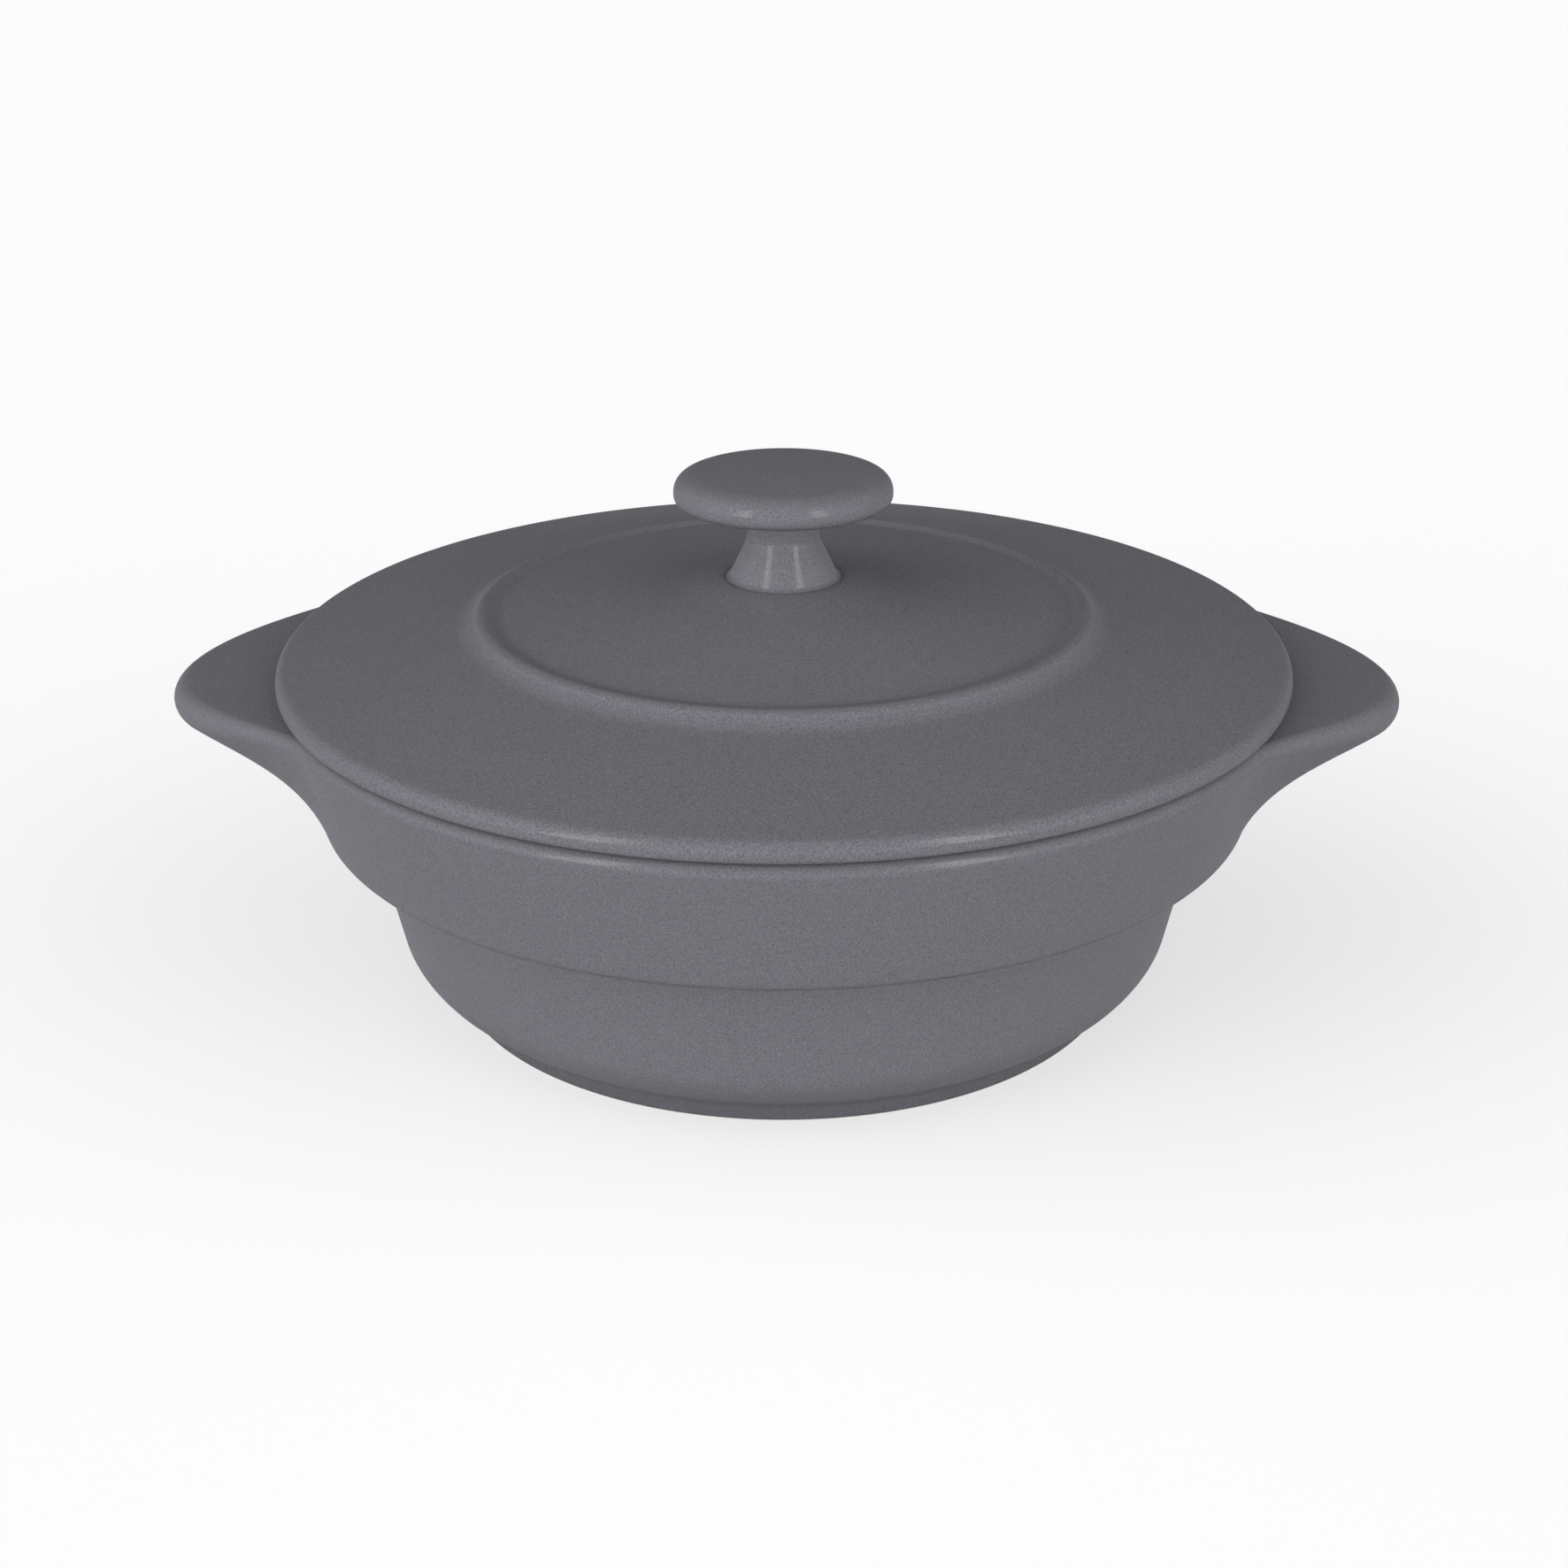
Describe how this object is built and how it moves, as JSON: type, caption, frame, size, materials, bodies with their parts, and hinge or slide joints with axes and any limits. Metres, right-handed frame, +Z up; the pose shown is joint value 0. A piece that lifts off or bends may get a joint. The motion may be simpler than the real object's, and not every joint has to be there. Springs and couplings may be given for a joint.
{
  "type": "cocotte with lid",
  "caption": "Round glazed ceramic cocotte with a stepped bowl, ears drawn out of the rim, a foot ring, and a lift-off lid with a raised ring and a mushroom knob.",
  "frame": {"origin": "on the table under the middle of the pot, at the underside of the foot ring", "axes": "+Z up along the axis of the bowl, +X through the middle of an ear"},
  "size_m": [0.2444, 0.2, 0.1055],
  "materials": {
    "grey_glaze": "mid-grey glossy glaze over a fired ceramic body"
  },
  "bodies": {
    "pot": {"pot": "grey_glaze"},
    "lid": {"lid": "grey_glaze", "knob": "grey_glaze"}
  },
  "joints": [
    {"name": "lid_lift", "type": "slide", "parent": "pot", "child": "lid", "axis": [0, 0, 1], "range_m": [0, 0.12]}
  ]
}
